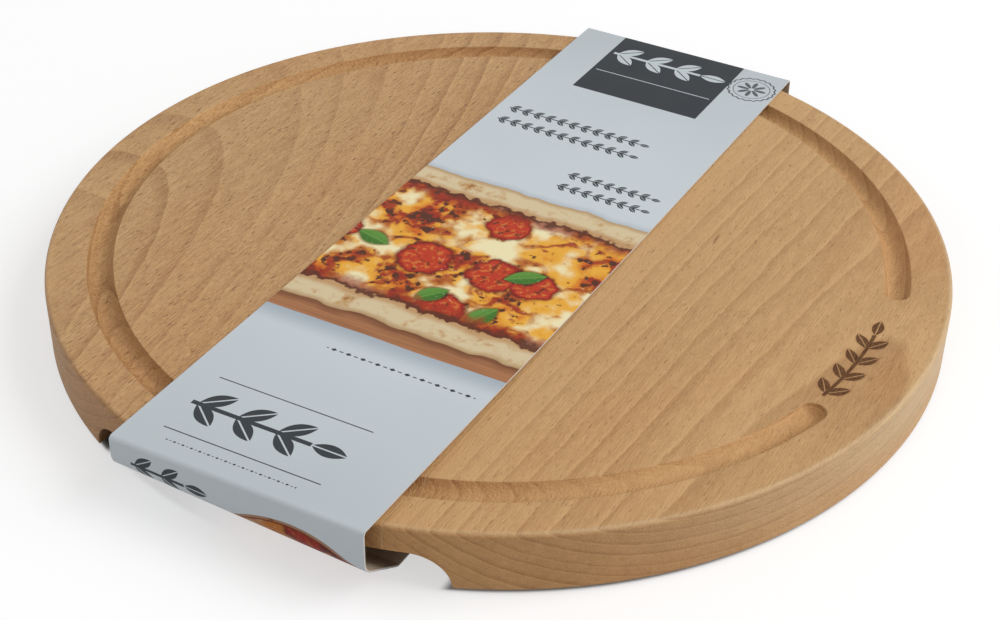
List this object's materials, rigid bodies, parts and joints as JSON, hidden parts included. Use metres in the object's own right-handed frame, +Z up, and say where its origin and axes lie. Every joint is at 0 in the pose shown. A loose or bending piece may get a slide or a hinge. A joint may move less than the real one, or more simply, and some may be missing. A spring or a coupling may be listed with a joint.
{
  "type": "pizza serving board",
  "caption": "Round wooden serving board with a juice groove, coved finger recesses underneath and a card sleeve that slides off.",
  "frame": {"origin": "middle of the object's footprint on the table, on the board's own vertical centre line", "axes": "+Z up out of the serving face, +Y along the wood grain and the sleeve, +X towards the gap in the juice groove"},
  "size_m": [0.24, 0.2426, 0.0187],
  "materials": {
    "beech": "satin",
    "wood_glue": "matte",
    "printed_card": "satin",
    "card_glue": "satin"
  },
  "bodies": {
    "board": {"stave_left": "beech", "stave_centre": "beech", "stave_right": "beech", "glue_line_left": "wood_glue", "glue_line_right": "wood_glue"},
    "sleeve": {"sleeve": "printed_card", "sleeve_seam_glue": "card_glue"}
  },
  "joints": [
    {"name": "sleeve_slide", "type": "slide", "parent": "board", "child": "sleeve", "axis": [1, 0, 0], "range_m": [-0.165, 0.165]}
  ]
}
